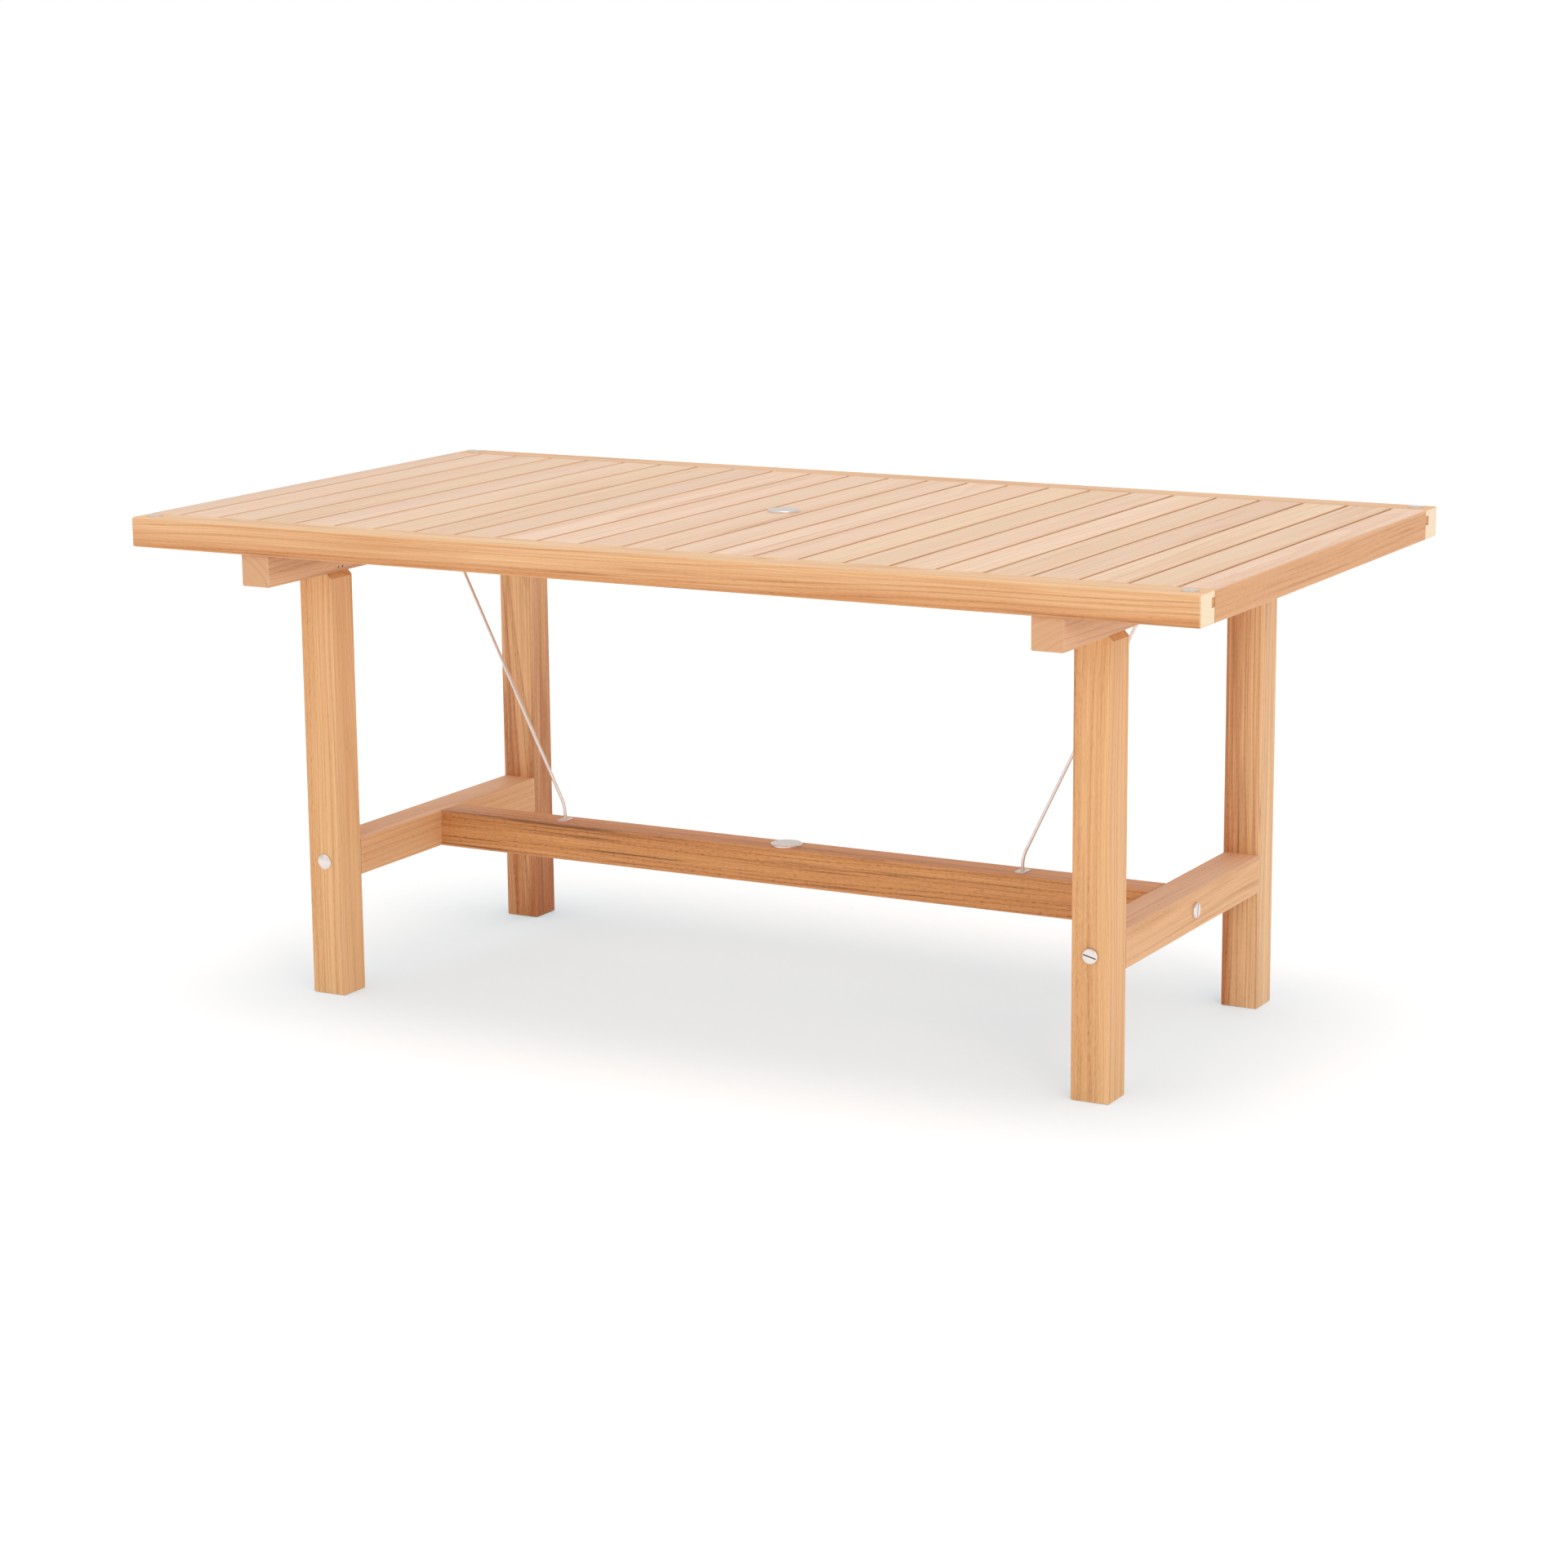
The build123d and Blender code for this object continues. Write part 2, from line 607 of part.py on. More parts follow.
def bolt_nodes():
    """The six bolts, the slotted ones each left at its own turn."""
    return {
        "leg_bolt_front_left": leg_bolt(-1, -1, domed_bolt()),
        "leg_bolt_front_right": leg_bolt(1, -1, slotted_bolt(-14.0)),
        "leg_bolt_back_left": leg_bolt(-1, 1, domed_bolt()),
        "leg_bolt_back_right": leg_bolt(1, 1, slotted_bolt(12.0)),
        "stretcher_bolt_left": stretcher_bolt(-1, slotted_bolt(35.0)),
        "stretcher_bolt_right": stretcher_bolt(1, slotted_bolt(84.0)),
    }


def wooden_nodes():
    """Every wooden board, rail, post and beam."""
    nodes = {
        "long_rail_front": long_rail(-1),
        "long_rail_back": long_rail(1),
        "end_rail_left": end_rail(-1),
        "end_rail_right": end_rail(1),
        "centre_batten": centre_batten(),
        "beam_left": beam(-1),
        "beam_right": beam(1),
        "leg_front_left": leg(-1, -1),
        "leg_front_right": leg(1, -1),
        "leg_back_left": leg(-1, 1),
        "leg_back_right": leg(1, 1),
        "lower_rail_left": lower_rail(-1),
        "lower_rail_right": lower_rail(1),
        "stretcher": stretcher(),
    }
    for index in range(SLAT_COUNT):
        nodes[f"slat_{index + 1:02d}"] = slat(index)
    return nodes


def metal_nodes():
    """Tie rods, their plates and the two caps."""
    return {
        "tie_rod_left": mirrored(tie_rod()),
        "tie_rod_right": tie_rod(),
        "rod_plate_left": mirrored(rod_plate()),
        "rod_plate_right": rod_plate(),
        "top_cap": parasol_cap(TABLE_HEIGHT),
        "stretcher_cap": parasol_cap(RAIL_TOP),
    }


def main():
    os.makedirs("parts", exist_ok=True)
    nodes = wooden_nodes() | metal_nodes() | bolt_nodes() | fastener_nodes()
    for name, shape in nodes.items():
        export_step(shape, f"parts/{name}.step")
    print(len(nodes), "nodes")


main()
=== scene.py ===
import math
import random

import bpy
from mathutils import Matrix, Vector


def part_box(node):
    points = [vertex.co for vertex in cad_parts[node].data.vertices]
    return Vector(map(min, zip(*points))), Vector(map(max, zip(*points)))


# Looks for a slatted teak trestle table: bare teak, stainless fittings, a pale studio floor and soft light.
# Lengths are in metres. Wood and steel colours are 0-255 display values, and the stage's are linear.

CAMERA_PLACE = (2.5406, -4.6694, 1.4491)
CAMERA_TURN = (78.009, 0.497, 28.477)  # degrees about x, y and z
LENS = 85.58
SENSOR = 36.0

WHITE = (1.0, 1.0, 1.0, 1.0)
BLACK = (0.0, 0.0, 0.0, 1.0)

FLOOR_HALF = 200.0
WALL_HEIGHT = 15.0
WORLD_LIGHT = 0.76
# The floor's warm paint and cool glow cancel the tint of the light off the wood, so it reads as white.
FLOOR_COLOUR = (0.95, 0.70, 0.60, 1.0)
FLOOR_GLOW = (0.103, 0.377, 0.479, 1.0)
SUN_LIGHT = 0.82
SUN_SPREAD = 32.0  # degrees
SOFT_LIGHT_TARGET = (0.0, 0.0, 0.5)
SOFT_LIGHT_SIZE = 2.4
SOFT_LIGHTS = (  # name, place and power in watts
    ("right_front", (4.2, -3.6, 2.8), 40.0),
    ("left_front", (-2.4, -4.6, 2.4), 10.0),
)

AXES = {"x": 0, "y": 1, "z": 2}
MIX_FIRST, MIX_SECOND, MIX_RESULT = 6, 7, 2  # the colour sockets of a Mix node

# Each wood: the sapwood and heartwood ends of its own tone, its rings, its dark streaks, its end grain,
# and the pale tone of the painted sheen on its upward faces, which its worn arrises share. The shares say
# how strongly each of those shows.
SLAT_TEAK = dict(
    sap=(236, 192, 148), heart=(226, 170, 122), ring=(206, 150, 104), streak=(180, 120, 76),
    end=(226, 182, 144), sheen_and_wear=(240, 213, 188),
    ring_share=0.5, streak_share=0.6, pore_share=0.4, top_sheen_share=0.74, end_ring_share=0.3,
)
END_RAIL_TEAK = dict(
    sap=(238, 190, 146), heart=(224, 166, 116), ring=(200, 142, 94), streak=(172, 110, 64),
    end=(206, 158, 118), sheen_and_wear=(239, 210, 184),
    ring_share=0.5, streak_share=0.45, pore_share=0.5, top_sheen_share=0.8, end_ring_share=0.3,
)
RAIL_TEAK = dict(
    sap=(244, 196, 146), heart=(216, 148, 92), ring=(196, 128, 74), streak=(140, 80, 38),
    end=(245, 222, 190), sheen_and_wear=(242, 208, 168),
    ring_share=0.7, streak_share=1.0, pore_share=0.5, top_sheen_share=0.6, end_ring_share=0.06,
)
LEG_TEAK = dict(
    sap=(242, 192, 138), heart=(230, 172, 116), ring=(206, 144, 90), streak=(164, 106, 62),
    end=(216, 172, 132), sheen_and_wear=(230, 188, 150),
    ring_share=0.7, streak_share=0.35, pore_share=0.9, top_sheen_share=0.5, end_ring_share=0.35,
)
# The back legs stand in the table's shade: their teak is a darker, more saturated copy of the legs' teak,
# partly painted shade.
BACK_LEG_SHADED_TEAK = dict(
    sap=(252, 206, 154), heart=(190, 108, 50), ring=(168, 94, 44), streak=(112, 62, 30),
    end=(196, 142, 98), sheen_and_wear=(214, 168, 132),
    ring_share=0.6, streak_share=0.8, pore_share=0.8, top_sheen_share=0.5, end_ring_share=0.35,
)
BEAM_TEAK = dict(
    sap=(234, 186, 144), heart=(216, 160, 114), ring=(192, 136, 94), streak=(146, 96, 62),
    end=(218, 168, 126), sheen_and_wear=(226, 184, 150),
    ring_share=0.6, streak_share=0.8, pore_share=0.6, top_sheen_share=0.5, end_ring_share=0.35,
)
STRETCHER_TEAK = dict(
    sap=(242, 180, 116), heart=(218, 150, 90), ring=(188, 118, 64), streak=(104, 58, 28),
    end=(206, 152, 110), sheen_and_wear=(226, 182, 146),
    ring_share=0.7, streak_share=0.95, pore_share=0.95, top_sheen_share=0.65, end_ring_share=0.35,
)
LOWER_RAIL_TEAK = dict(
    sap=(240, 188, 138), heart=(228, 170, 116), ring=(206, 146, 96), streak=(160, 102, 58),
    end=(210, 160, 118), sheen_and_wear=(246, 212, 180),
    ring_share=0.6, streak_share=0.3, pore_share=0.7, top_sheen_share=0.8, end_ring_share=0.35,
)
# The tenon pins are painted dark: painted shade for the shadow in their holes.
PIN_TEAK = dict(
    sap=(130, 84, 56), heart=(112, 70, 46), ring=(92, 58, 38), streak=(72, 44, 30),
    end=(84, 52, 36), sheen_and_wear=(150, 110, 84),
    ring_share=0.4, streak_share=0.5, pore_share=0.4, top_sheen_share=0.2, end_ring_share=0.35,
)

HEART_STREAKS = 0.3  # how much heartwood adds to the chance of dark streaks

# Each pattern's noise steps per metre, across the grain and along it.
WANDER_SCALE = (9, 1.6)
DRIFT_SCALE = (26, 1.3)
STREAK_SCALE = (210, 2.4)
PATCH_SCALE = (24, 1.4)
PORE_SCALE = (1900, 110)
FIBRE_SCALE = (620, 2.5)

PATTERN_SHIFT = 9  # how far each piece's patterns may be shifted, so that no two pieces match
PITH_REACH = (0.06, 0.16)  # from a piece's middle to its pith
PITH_TILT = 0.9  # degrees between the pith and the grain, at most
RING_WANDER = 0.03
RING_STEPS = 190  # noise steps per metre outwards from the pith
HEART_RAGGED = 4.5  # how uneven the heartwood's border is
HEART_STRENGTH = (0.3, 0.9)  # for pieces that HEART_SIDES doesn't name
SHEEN_WASHOUT = 0.45  # how much grain the painted sheen washes out on upward faces
PALENESS = (0.94, 1.05)
WARMTH = (0.94, 1.06)
ARRIS_WIDTH = (0.0008, 0.003)  # worn arrises are palest up to the first and end at the second
WOOD_ROUGHNESS = 0.42
WOOD_SPECULAR = 0.35
WOOD_BUMP = (0.35, 0.0004)  # strength and height

# The side of a board that is heartwood, as an axis and a sign. Dark streaks and pores gather there.
HEART_SIDES = {
    "long_rail_front": ("z", -1),
    "leg_front_right": ("x", -1),
    # On the back legs the dark heartwood side is partly painted shade.
    "leg_back_right": ("x", -1),
    "leg_back_left": ("z", -1),
    "stretcher": ("y", -1),
    "end_rail_right": ("x", 1),
    "end_rail_left": ("x", -1),
}

# Turned pieces: the axis, and which way the slotted face looks along it (0 where there is no slot).
TURNED_METAL = {
    "top_cap": ("z", 0),
    "stretcher_cap": ("z", 0),
    "leg_bolt_front_left": ("y", 0),
    "leg_bolt_front_right": ("y", -1),
    "leg_bolt_back_left": ("y", 0),
    "leg_bolt_back_right": ("y", 1),
    "stretcher_bolt_left": ("x", -1),
    "stretcher_bolt_right": ("x", 1),
}
# Small fittings that share one steel.
PLAIN_METAL = (
    "corner_pins", "slat_screws", "beam_screws", "rod_plate_screws", "rod_foot_nuts",
    "rod_head_nuts", "barrel_nuts", "tie_rod_left", "tie_rod_right", "rod_plate_left", "rod_plate_right",
)
SLOT_TOP = (0.0005, 0.0012)  # the painted shade in a coin slot deepens over these depths below the face, is gone past these, and stays within these distances from the axis
SLOT_FLOOR = (0.0024, 0.0028)  # is gone past these,
SLOT_END = (0.0098, 0.0101)  # and stays within these distances from the axis
TURNED_ROUGHNESS = 0.28
PLAIN_ROUGHNESS = 0.3
TURNING_STEPS = 5200  # noise steps per metre outwards, for the marks of the lathe
PLAIN_GRAIN = (2400.0, 2400.0, 500.0)
SMUDGE_SCALE = (140.0, 140.0, 140.0)
STEEL_BUMP = (0.12, 0.0001)  # strength and height
STEEL_DARK = (224, 213, 207)
STEEL_PALE = (238, 229, 224)
STEEL_SMUDGE = (210, 197, 190)
# The dark colour of the painted shade in the coin slots.
SLOT_SHADE_COLOUR = (74, 60, 54)

# The first family whose start a node's name has gives its grain and its wood. Metal has neither.
WOOD_FAMILIES = (
    ("slat_screws", None, None),
    ("slat_", "y", SLAT_TEAK),
    ("end_rail_", "y", END_RAIL_TEAK),
    ("centre_batten", "x", LEG_TEAK),
    ("long_rail_", "x", RAIL_TEAK),
    ("beam_screws", None, None),
    ("beam_", "y", BEAM_TEAK),
    ("leg_bolt_", None, None),
    ("leg_back_", "z", BACK_LEG_SHADED_TEAK),
    ("leg_", "z", LEG_TEAK),
    ("lower_rail_", "y", LOWER_RAIL_TEAK),
    ("stretcher_", None, None),
    ("stretcher", "x", STRETCHER_TEAK),
    ("dowels", "x", LEG_TEAK),
    ("tenon_pins", "x", PIN_TEAK),
)


def linear(colour):
    """A display colour of 0-255 values as the shader's linear red, green, blue and alpha."""
    def channel(value):
        share = value / 255
        return share / 12.92 if share <= 0.04045 else ((share + 0.055) / 1.055) ** 2.4
    return (*(channel(value) for value in colour), 1.0)


class Graph:
    """A material's nodes, with one short call for each kind that the looks here need."""

    def __init__(self, name):
        self.material = bpy.data.materials.new(name)
        self.material.use_nodes = True
        self.tree = self.material.node_tree
        self.shader = self.tree.nodes["Principled BSDF"]
        self.coordinates = self.tree.nodes.new("ShaderNodeTexCoord")
        self.point = self.coordinates.outputs["Object"]

    def feed(self, socket, value):
        if isinstance(value, bpy.types.NodeSocket):
            self.tree.links.new(value, socket)
        else:
            socket.default_value = value

    def math(self, operation, first, second=0.0, clamp=False):
        node = self.tree.nodes.new("ShaderNodeMath")
        node.operation = operation
        node.use_clamp = clamp
        self.feed(node.inputs[0], first)
        self.feed(node.inputs[1], second)
        return node.outputs[0]

    def vector(self, operation, first, second=(0.0, 0.0, 0.0)):
        node = self.tree.nodes.new("ShaderNodeVectorMath")
        node.operation = operation
        self.feed(node.inputs[0], first)
        self.feed(node.inputs[1], second)
        return node.outputs["Value" if operation in ("LENGTH", "DOT_PRODUCT") else "Vector"]

    def parts(self, vector):
        node = self.tree.nodes.new("ShaderNodeSeparateXYZ")
        self.feed(node.inputs[0], vector)
        return list(node.outputs)

    def turned(self, vector, degrees):
        node = self.tree.nodes.new("ShaderNodeMapping")
        self.feed(node.inputs["Vector"], vector)
        node.inputs["Rotation"].default_value = [math.radians(angle) for angle in degrees]
        return node.outputs[0]

    def noise(self, vector, detail=2.0, roughness=0.5, output="Fac"):
        node = self.tree.nodes.new("ShaderNodeTexNoise")
        self.feed(node.inputs["Vector"], vector)
        node.inputs["Scale"].default_value = 1.0
        node.inputs["Detail"].default_value = detail
        node.inputs["Roughness"].default_value = roughness
        return node.outputs[output]

    def line_noise(self, distance, detail=2.0, roughness=0.5):
        node = self.tree.nodes.new("ShaderNodeTexNoise")
        node.noise_dimensions = "1D"
        self.feed(node.inputs["W"], distance)
        node.inputs["Scale"].default_value = 1.0
        node.inputs["Detail"].default_value = detail
        node.inputs["Roughness"].default_value = roughness
        return node.outputs["Fac"]

    def span(self, value, low, high, to_low=0.0, to_high=1.0):
        """value from low to high, eased and clamped, as to_low to to_high."""
        node = self.tree.nodes.new("ShaderNodeMapRange")
        node.interpolation_type = "SMOOTHSTEP"
        self.feed(node.inputs["Value"], value)
        node.inputs["From Min"].default_value = low
        node.inputs["From Max"].default_value = high
        node.inputs["To Min"].default_value = to_low
        node.inputs["To Max"].default_value = to_high
        return node.outputs[0]

    def mix(self, share, first, second):
        node = self.tree.nodes.new("ShaderNodeMix")
        node.data_type = "RGBA"
        self.feed(node.inputs["Factor"], share)
        self.feed(node.inputs[MIX_FIRST], first)
        self.feed(node.inputs[MIX_SECOND], second)
        return node.outputs[MIX_RESULT]

    def bump(self, height, strength, distance):
        node = self.tree.nodes.new("ShaderNodeBump")
        node.inputs["Strength"].default_value = strength
        node.inputs["Distance"].default_value = distance
        self.feed(node.inputs["Height"], height)
        return node.outputs[0]

    def edge_distance(self, low, high):
        """How far a point of a box's skin is from the box's nearest edge."""
        middle = (low + high) / 2
        half = (high - low) / 2
        away = self.vector("ABSOLUTE", self.vector("SUBTRACT", self.point, middle))
        a, b, c = self.parts(self.vector("SUBTRACT", half, away))
        smaller = self.math("MINIMUM", a, b)
        larger = self.math("MAXIMUM", a, b)
        return self.math("MAXIMUM", smaller, self.math("MINIMUM", larger, c))

    def finish(self, settings):
        for name, value in settings.items():
            self.feed(self.shader.inputs[name], value)
        return self.material


def across(grain):
    """Factors that keep only the two directions across the grain."""
    flat = [1.0] * 3
    flat[AXES[grain]] = 0.0
    return flat


def stretched(g, point, grain, steps):
    """point scaled so that a pattern is drawn out along the grain."""
    scale = [steps[0]] * 3
    scale[AXES[grain]] = steps[1]
    return g.vector("MULTIPLY", point, tuple(scale))


def growth_rings(g, dice, low, high, grain, point):
    """Rings about a slightly tilted pith beside the piece, uneven by a slow wander along the grain."""
    pith = (low + high) / 2
    angle = dice.uniform(0, 2 * math.pi)
    reach = dice.uniform(*PITH_REACH)
    side, up = [i for i in range(3) if i != AXES[grain]]
    pith[side] += reach * math.cos(angle)
    pith[up] += reach * math.sin(angle)
    tilt = [0.0, 0.0, 0.0]
    tilt[side] = dice.uniform(-PITH_TILT, PITH_TILT)
    tilt[up] = dice.uniform(-PITH_TILT, PITH_TILT)
    radial = g.vector("MULTIPLY", g.turned(g.vector("SUBTRACT", g.point, pith), tilt), across(grain))
    wander = g.noise(stretched(g, point, grain, WANDER_SCALE), 1, output="Color")
    wander = g.vector("MULTIPLY", g.vector("SUBTRACT", wander, (0.5, 0.5, 0.5)), (RING_WANDER,) * 3)
    radius = g.vector("LENGTH", g.vector("ADD", radial, wander))
    rings = g.line_noise(g.math("MULTIPLY", radius, RING_STEPS), 3, 0.75)
    return g.span(rings, 0.42, 0.7)


def heartwood(g, dice, node, low, high, drift):
    """Heartwood towards one side of the board, with an uneven border."""
    any_side = (dice.choice("xyz"), dice.choice((-1, 1)))
    lean_axis, lean_sign = HEART_SIDES.get(node, any_side)
    lean = AXES[lean_axis]
    half = max((high - low)[lean] / 2, 0.001)
    place = g.math("SUBTRACT", g.parts(g.point)[lean], (low + high)[lean] / 2)
    place = g.math("MULTIPLY", place, lean_sign / half)
    unevenness = g.math("MULTIPLY", g.math("SUBTRACT", drift, 0.5), HEART_RAGGED)
    border = g.math("ADD", place, unevenness)
    strength = 1.0 if node in HEART_SIDES else dice.uniform(*HEART_STRENGTH)
    return g.math("MULTIPLY", g.span(border, -0.7, 1.3), strength)


def dark_streaks(g, grain, point, heart):
    """Long dark streaks that come in patches, more of them in the heartwood."""
    streaks = g.noise(stretched(g, point, grain, STREAK_SCALE), 4, 0.7)
    patches = g.noise(stretched(g, point, grain, PATCH_SCALE), 1)
    patches = g.math("ADD", patches, g.math("MULTIPLY", heart, HEART_STREAKS))
    return g.math("MULTIPLY", g.span(streaks, 0.52, 0.68), g.span(patches, 0.54, 0.7))


def short_pores(g, grain, point, rings, heart):
    """Short pores that gather along the rings and in the heartwood."""
    pores = g.noise(stretched(g, point, grain, PORE_SCALE), 1, 0.5)
    pores = g.math("MULTIPLY", g.span(pores, 0.53, 0.66), g.span(rings, 0.0, 1.0, 0.4, 1.0))
    return g.math("MULTIPLY", pores, g.span(heart, 0.0, 1.0, 0.35, 1.0))


def sheen_and_wear_tone(dice, wood):
    """The pale tone of the painted sheen on upward faces and of worn arrises, a little paler or warmer from
    piece to piece.
    """
    paleness = dice.uniform(*PALENESS)
    warmth = dice.uniform(*WARMTH)
    red, green, blue, _ = linear(wood["sheen_and_wear"])
    return (red * paleness, green * paleness, blue * paleness * warmth, 1.0)


def teak(name, node, grain, wood):
    """Solid teak with rings, heartwood, streaks, pores, end grain, worn arrises and a painted sheen on
    upward faces.
    """
    low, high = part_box(node)
    dice = random.Random(name)
    g = Graph(name)
    home = Vector([dice.uniform(-PATTERN_SHIFT, PATTERN_SHIFT) for _ in range(3)])
    point = g.vector("ADD", g.point, home)
    rings = growth_rings(g, dice, low, high, grain, point)
    drift = g.noise(stretched(g, point, grain, DRIFT_SCALE), 3, 0.6)
    heart = heartwood(g, dice, node, low, high, drift)
    streaks = dark_streaks(g, grain, point, heart)
    pores = short_pores(g, grain, point, rings, heart)
    fibre = g.noise(stretched(g, point, grain, FIBRE_SCALE), 4, 0.75)

    # Painted sheen: upward faces are painted in a paler tone, as overhead light and its sheen show them,
    # and keep a little of their grain.
    facing = g.parts(g.coordinates.outputs["Normal"])
    upward = g.math("MULTIPLY", g.span(facing[AXES["z"]], 0.7, 0.95), wood["top_sheen_share"])
    upward = g.math("MULTIPLY", upward, g.span(drift, 0.35, 0.65, 1.12, 0.88))
    sheen_washout = g.math("SUBTRACT", 1.0, g.math("MULTIPLY", upward, SHEEN_WASHOUT))
    sheen_and_wear = sheen_and_wear_tone(dice, wood)
    colour = g.mix(heart, linear(wood["sap"]), linear(wood["heart"]))
    colour = g.mix(upward, colour, sheen_and_wear)

    shade = g.math("ADD", rings, g.span(fibre, 0.35, 0.65))
    shade = g.math("MULTIPLY", g.math("MULTIPLY", shade, wood["ring_share"] * 0.6), sheen_washout)
    colour = g.mix(shade, colour, linear(wood["ring"]))
    for marks, share in ((streaks, wood["streak_share"]), (pores, wood["pore_share"])):
        marks = g.math("MULTIPLY", g.math("MULTIPLY", marks, share), sheen_washout)
        colour = g.mix(marks, colour, linear(wood["streak"]))

    # End grain on the faces that the grain runs into.
    ends = g.span(g.math("ABSOLUTE", facing[AXES[grain]]), 0.75, 0.95)
    ringed = g.math("MULTIPLY", rings, wood["end_ring_share"])
    colour = g.mix(ends, colour, g.mix(ringed, linear(wood["end"]), linear(wood["ring"])))

    # Sanded arrises are a little paler.
    edge = g.edge_distance(low, high)
    worn = g.math("MULTIPLY", g.span(edge, *ARRIS_WIDTH, 1.0, 0.0), g.span(drift, 0.3, 0.7, 0.1, 0.4))
    colour = g.mix(worn, colour, sheen_and_wear)

    roughness = g.math("ADD", g.math("MULTIPLY", rings, 0.08), g.math("MULTIPLY", fibre, 0.16))
    relief = g.math("SUBTRACT", g.math("MULTIPLY", fibre, 0.5), g.math("MULTIPLY", pores, 0.6))
    relief = g.math("ADD", relief, g.math("MULTIPLY", rings, -0.25))
    return g.finish({
        "Base Color": colour,
        "Roughness": g.math("ADD", roughness, WOOD_ROUGHNESS),
        "Normal": g.bump(relief, *WOOD_BUMP),
        "Specular IOR Level": WOOD_SPECULAR,
    })


def turned_steel(name, node, axis_name, slot_sign):
    """Stainless steel with the fine rings that a lathe leaves, and painted shade in a coin slot if it has
    one.
    """
    low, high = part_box(node)
    g = Graph(name)
    radial = g.vector("MULTIPLY", g.vector("SUBTRACT", g.point, (low + high) / 2), across(axis_name))
    radius = g.vector("LENGTH", radial)
    rings = g.line_noise(g.math("MULTIPLY", radius, TURNING_STEPS), 2, 0.7)
    if not slot_sign:
        return steel_finish(g, rings, TURNED_ROUGHNESS)
    axis = AXES[axis_name]
    face = (high if slot_sign > 0 else low)[axis]
    depth = g.math("MULTIPLY", g.math("SUBTRACT", face, g.parts(g.point)[axis]), slot_sign)
    # Painted shade inside the slot: darker below the face, within the slot's reach.
    slot_shade = g.math("MULTIPLY", g.span(depth, *SLOT_TOP), g.span(depth, *SLOT_FLOOR, 1.0, 0.0))
    slot_shade = g.math("MULTIPLY", slot_shade, g.span(radius, *SLOT_END, 1.0, 0.0))
    return steel_finish(g, rings, TURNED_ROUGHNESS, slot_shade)


def plain_steel(name):
    """Stainless steel with a fine even grain, for small parts that lie in several places."""
    g = Graph(name)
    grain = g.noise(g.vector("MULTIPLY", g.point, PLAIN_GRAIN), 2, 0.7)
    return steel_finish(g, grain, PLAIN_ROUGHNESS)


def steel_finish(g, grain, roughness, slot_shade=0.0):
    """Pale steel over a given grain, with faint handling marks and dark painted shade where it is asked
    for.
    """
    smudge = g.noise(g.vector("MULTIPLY", g.point, SMUDGE_SCALE), 3, 0.6)
    colour = g.mix(g.span(grain, 0.3, 0.7), linear(STEEL_DARK), linear(STEEL_PALE))
    colour = g.mix(g.span(smudge, 0.55, 0.8, 0.0, 0.35), colour, linear(STEEL_SMUDGE))
    colour = g.mix(slot_shade, colour, linear(SLOT_SHADE_COLOUR))
    rough = g.math("ADD", g.math("MULTIPLY", g.span(smudge, 0.3, 0.8), 0.12), roughness)
    normal = g.bump(grain, *STEEL_BUMP)
    return g.finish({"Base Color": colour, "Metallic": 1.0, "Roughness": rough, "Normal": normal})


def dress(nodes, name, material):
    """Puts one material on every slot of a CAD node."""
    for slot in nodes[name].material_slots:
        slot.material = material


def dress_wood(nodes):
    """Teak on every wooden node."""
    for name in sorted(nodes):
        grain, wood = next((rest for start, *rest in WOOD_FAMILIES if name.startswith(start)), (None, None))
        if wood:
            dress(nodes, name, teak("teak_" + name, name, grain, wood))


def dress_metal(nodes):
    """Steel of its own on every turned piece, and one shared steel on the small fittings."""
    for name, (axis_name, slot_sign) in TURNED_METAL.items():
        dress(nodes, name, turned_steel("steel_" + name, name, axis_name, slot_sign))
    shared = plain_steel("stainless_fittings")
    for name in PLAIN_METAL:
        dress(nodes, name, shared)


def glowing(name, paint, glow):
    """A matt surface of one colour that also gives off light of its own."""
    return Graph(name).finish({
        "Base Color": paint,
        "Roughness": 0.9,
        "Specular IOR Level": 0.0,
        "Emission Color": glow,
        "Emission Strength": 1.0,
    })


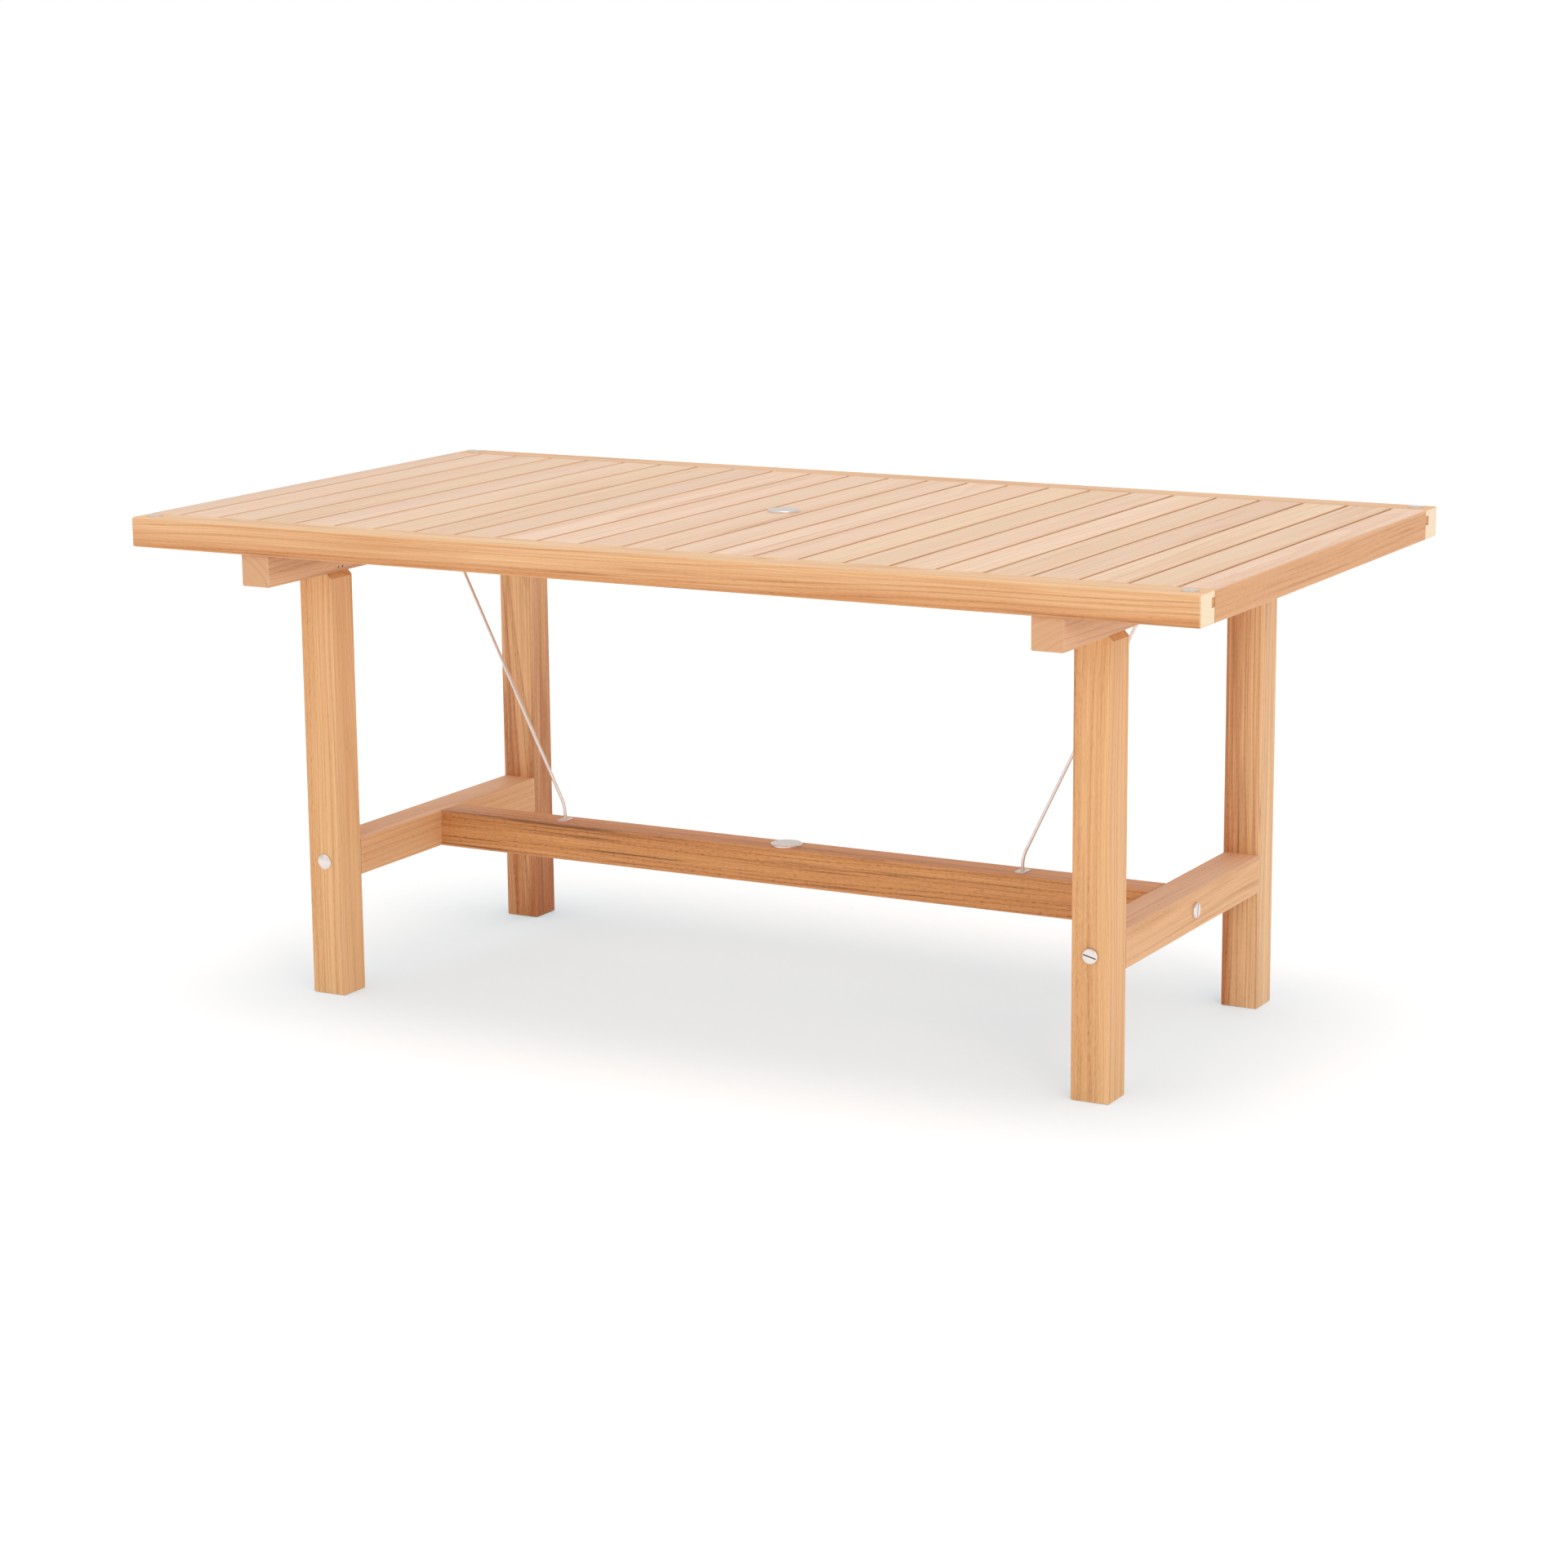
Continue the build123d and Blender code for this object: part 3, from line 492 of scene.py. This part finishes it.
def studio_floor():
    """A huge pale floor, with a white wall at its far edges to hide the horizon."""
    ring = [(x * FLOOR_HALF, y * FLOOR_HALF) for x, y in ((-1, -1), (1, -1), (1, 1), (-1, 1))]
    corners = [(x, y, z) for z in (0.0, WALL_HEIGHT) for x, y in ring]
    walls = [(i, (i + 1) % 4, (i + 1) % 4 + 4, i + 4) for i in range(4)]
    mesh = bpy.data.meshes.new("studio_floor")
    mesh.from_pydata(corners, [], [(0, 1, 2, 3)] + walls)
    mesh.materials.append(glowing("floor_white", FLOOR_COLOUR, FLOOR_GLOW))
    mesh.materials.append(glowing("wall_white", BLACK, WHITE))
    for wall in mesh.polygons[1:]:
        wall.material_index = 1
    floor = bpy.data.objects.new("studio_floor", mesh)
    bpy.context.scene.collection.objects.link(floor)


def soft_light(name, place, power):
    """A large round lamp aimed at the middle of the table."""
    light = bpy.data.lights.new(name, "AREA")
    light.shape = "DISK"
    light.size = SOFT_LIGHT_SIZE
    light.energy = power
    lamp = bpy.data.objects.new(name, light)
    lamp.location = place
    aim = Vector(SOFT_LIGHT_TARGET) - Vector(place)
    lamp.rotation_euler = aim.to_track_quat("-Z", "Y").to_euler()
    bpy.context.scene.collection.objects.link(lamp)


def studio_lights():
    """A white sky, a broad sun straight above, and the soft lights."""
    world = bpy.data.worlds.new("studio_world")
    bpy.context.scene.world = world
    world.use_nodes = True
    sky = world.node_tree.nodes["Background"]
    sky.inputs["Color"].default_value = WHITE
    sky.inputs["Strength"].default_value = WORLD_LIGHT
    sun = bpy.data.lights.new("overhead", "SUN")
    sun.energy = SUN_LIGHT
    sun.angle = math.radians(SUN_SPREAD)
    bpy.context.scene.collection.objects.link(bpy.data.objects.new("overhead", sun))
    for name, place, power in SOFT_LIGHTS:
        soft_light(name, place, power)


def camera():
    data = bpy.data.cameras.new("camera")
    data.sensor_width = SENSOR
    data.lens = LENS
    data.clip_end = 2 * FLOOR_HALF
    eye = bpy.data.objects.new("camera", data)
    eye.location = CAMERA_PLACE
    eye.rotation_euler = [math.radians(angle) for angle in CAMERA_TURN]
    bpy.context.scene.collection.objects.link(eye)
    bpy.context.scene.camera = eye


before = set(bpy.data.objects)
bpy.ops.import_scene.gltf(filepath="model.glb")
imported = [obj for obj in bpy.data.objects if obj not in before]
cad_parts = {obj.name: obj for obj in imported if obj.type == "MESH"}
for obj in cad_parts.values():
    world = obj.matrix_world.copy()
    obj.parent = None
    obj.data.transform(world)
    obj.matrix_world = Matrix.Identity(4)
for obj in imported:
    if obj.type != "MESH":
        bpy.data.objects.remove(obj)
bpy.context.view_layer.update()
camera()
studio_floor()
studio_lights()
dress_metal(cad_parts)
dress_wood(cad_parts)
bpy.context.scene.view_settings.view_transform = "Standard"
